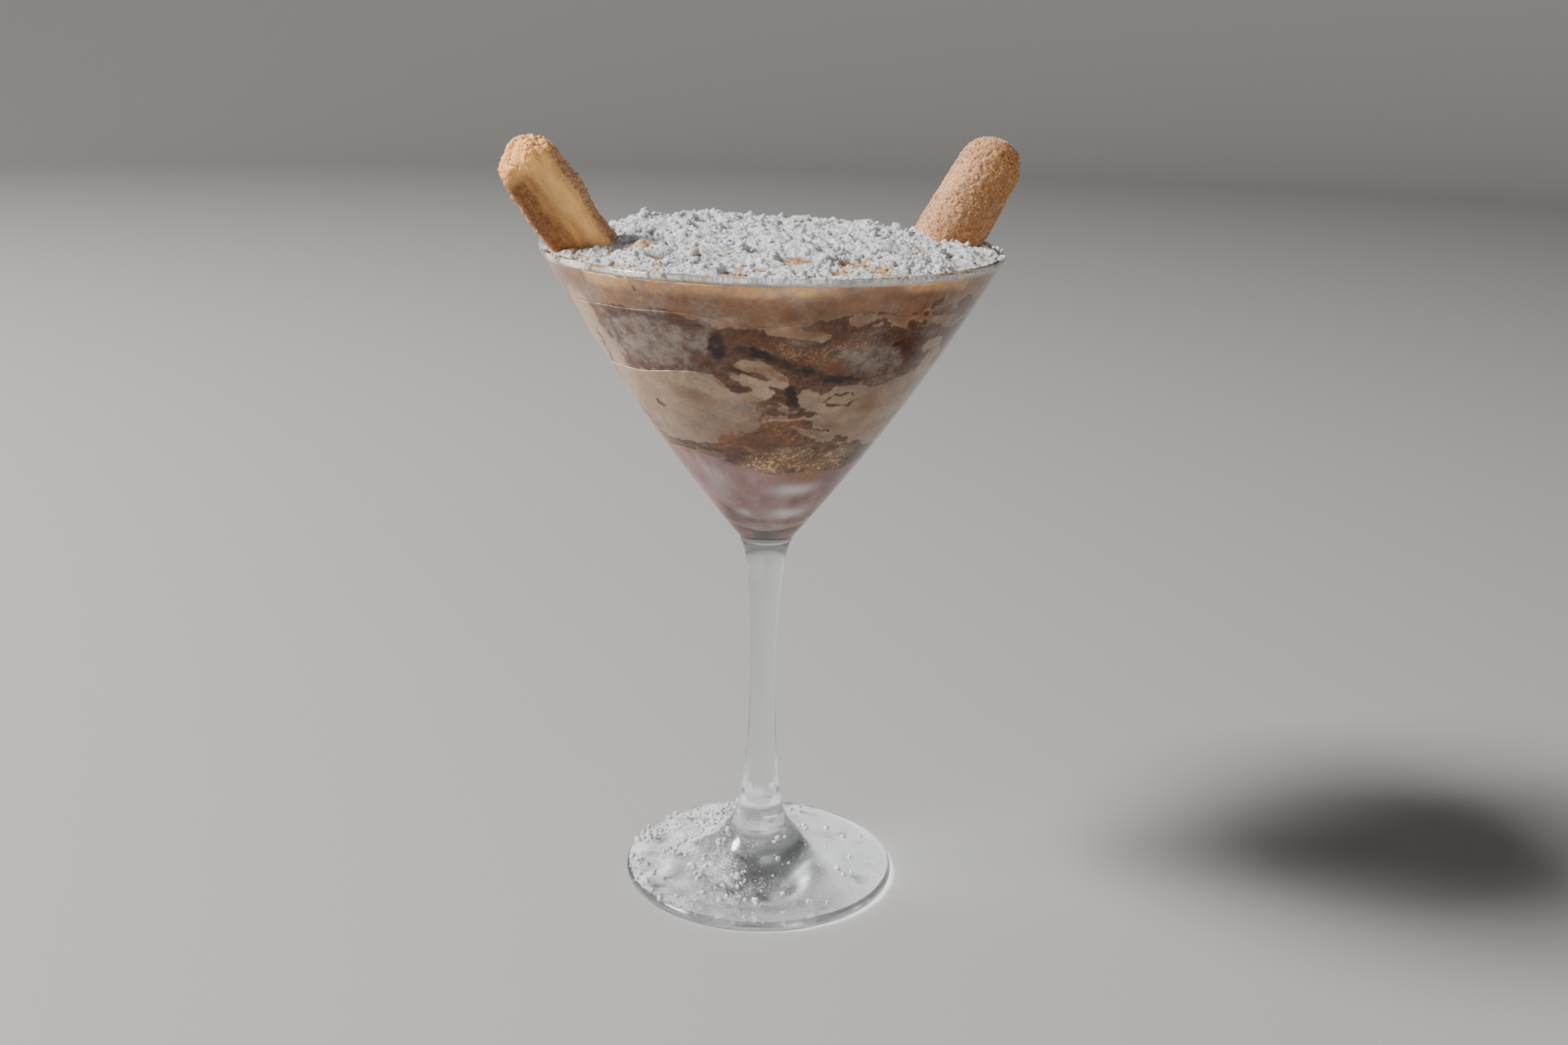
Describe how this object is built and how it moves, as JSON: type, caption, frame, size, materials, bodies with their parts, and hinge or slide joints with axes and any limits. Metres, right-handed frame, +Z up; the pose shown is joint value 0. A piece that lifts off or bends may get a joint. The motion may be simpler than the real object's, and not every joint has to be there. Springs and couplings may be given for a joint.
{
  "type": "tiramisu",
  "caption": "Tiramisu layered in a stemmed cocktail glass, heaped with icing sugar and dressed with ladyfinger biscuits, standing on its foot.",
  "frame": {"origin": "centre of the glass foot's underside, on the surface it stands on", "axes": "+Z up along the glass's axis, front towards -Y, so that the biscuits lean out to -X and +X"},
  "size_m": [0.1297, 0.1176, 0.2026],
  "materials": {
    "glass": "clear, slightly misted",
    "cream": "soft mascarpone cream stained with coffee",
    "soaked_biscuit": "coffee-soaked sponge with cocoa",
    "icing_sugar": "matt white powder in clumps",
    "ladyfinger": "dry baked crust with sugar grains"
  },
  "bodies": {
    "root": {"glass": "glass", "ladyfinger_left": "ladyfinger", "ladyfinger_right": "ladyfinger", "soaked_biscuit_lower": "soaked_biscuit", "cream_middle": "cream", "soaked_biscuit_upper": "soaked_biscuit", "cream_top": "cream", "icing_sugar": "icing_sugar"}
  },
  "joints": []
}
